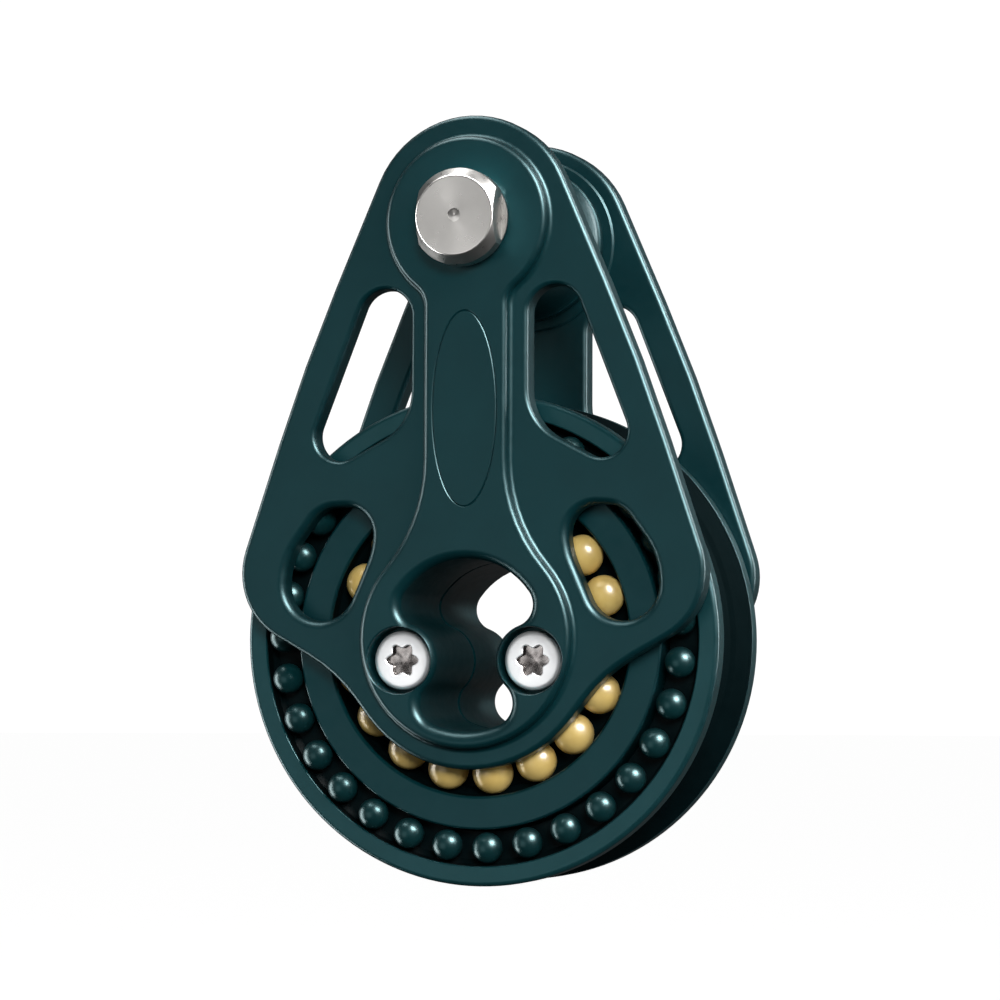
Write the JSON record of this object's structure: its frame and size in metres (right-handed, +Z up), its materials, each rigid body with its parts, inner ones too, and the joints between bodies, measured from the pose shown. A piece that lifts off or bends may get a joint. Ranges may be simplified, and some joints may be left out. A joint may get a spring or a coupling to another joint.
{
  "type": "single sheave block",
  "caption": "Rope block: a grooved sheave on bare ball bearings between pear-shaped cheeks with a hollow hub, hung from a bush on a head bolt.",
  "frame": {"origin": "centre of the head bush on the head bolt's axis, midway between the cheeks", "axes": "+Z up from the sheave towards the head, +Y from the front cheek to the rear cheek along the bolt and the sheave's axis, +X to the right"},
  "size_m": [0.0756, 0.0541, 0.1178],
  "materials": {
    "cheek": "satin hard-anodised, dark teal-black",
    "sheave": "satin hard-anodised, dark teal-black",
    "race_ring": "satin hard-anodised, dark teal-black",
    "main_ball": "smooth tan bearing plastic",
    "side_ball": "smooth black acetal",
    "screw": "bright stainless",
    "bush": "satin hard-anodised, dark teal-black",
    "bolt": "turned stainless",
    "nut": "turned stainless"
  },
  "bodies": {
    "frame": {"front_cheek": "cheek", "rear_cheek": "cheek", "left_screw": "screw", "right_screw": "screw", "head_bolt": "bolt", "head_nut": "nut"},
    "sheave_body": {"sheave": "sheave", "front_race_ring": "race_ring", "rear_race_ring": "race_ring"},
    "front_row": {"front_ball_01": "main_ball", "front_ball_02": "main_ball", "front_ball_03": "main_ball", "front_ball_04": "main_ball", "front_ball_05": "main_ball", "front_ball_06": "main_ball", "front_ball_07": "main_ball", "front_ball_08": "main_ball", "front_ball_09": "main_ball", "front_ball_10": "main_ball", "front_ball_11": "main_ball", "front_ball_12": "main_ball", "front_ball_13": "main_ball", "front_ball_14": "main_ball", "front_ball_15": "main_ball", "front_ball_16": "main_ball", "front_ball_17": "main_ball", "front_ball_18": "main_ball"},
    "rear_row": {"rear_ball_01": "main_ball", "rear_ball_02": "main_ball", "rear_ball_03": "main_ball", "rear_ball_04": "main_ball", "rear_ball_05": "main_ball", "rear_ball_06": "main_ball", "rear_ball_07": "main_ball", "rear_ball_08": "main_ball", "rear_ball_09": "main_ball", "rear_ball_10": "main_ball", "rear_ball_11": "main_ball", "rear_ball_12": "main_ball", "rear_ball_13": "main_ball", "rear_ball_14": "main_ball", "rear_ball_15": "main_ball", "rear_ball_16": "main_ball", "rear_ball_17": "main_ball", "rear_ball_18": "main_ball"},
    "front_side_row": {"front_side_balls": "side_ball"},
    "rear_side_row": {"rear_side_balls": "side_ball"},
    "bush": {"head_bush": "bush"}
  },
  "joints": [
    {"name": "sheave_spin", "type": "hinge", "parent": "frame", "child": "sheave_body", "pos_m": [0, 0, -0.0637], "axis": [0, 1, 0], "continuous": true},
    {"name": "front_row_roll", "type": "hinge", "parent": "frame", "child": "front_row", "pos_m": [0, -0.0113, -0.0637], "axis": [0, 1, 0], "continuous": true},
    {"name": "rear_row_roll", "type": "hinge", "parent": "frame", "child": "rear_row", "pos_m": [0, 0.0113, -0.0637], "axis": [0, 1, 0], "continuous": true},
    {"name": "front_side_row_roll", "type": "hinge", "parent": "frame", "child": "front_side_row", "pos_m": [0, -0.01225, -0.0637], "axis": [0, 1, 0], "continuous": true},
    {"name": "rear_side_row_roll", "type": "hinge", "parent": "frame", "child": "rear_side_row", "pos_m": [0, 0.01225, -0.0637], "axis": [0, 1, 0], "continuous": true},
    {"name": "bush_spin", "type": "hinge", "parent": "frame", "child": "bush", "pos_m": [0, 0, 0], "axis": [0, 1, 0], "continuous": true}
  ],
  "couplings": [
    {"joint": "front_row_roll", "follows": "sheave_spin", "ratio": 0.577},
    {"joint": "rear_row_roll", "follows": "sheave_spin", "ratio": 0.577},
    {"joint": "front_side_row_roll", "follows": "sheave_spin", "ratio": 0.5},
    {"joint": "rear_side_row_roll", "follows": "sheave_spin", "ratio": 0.5}
  ]
}
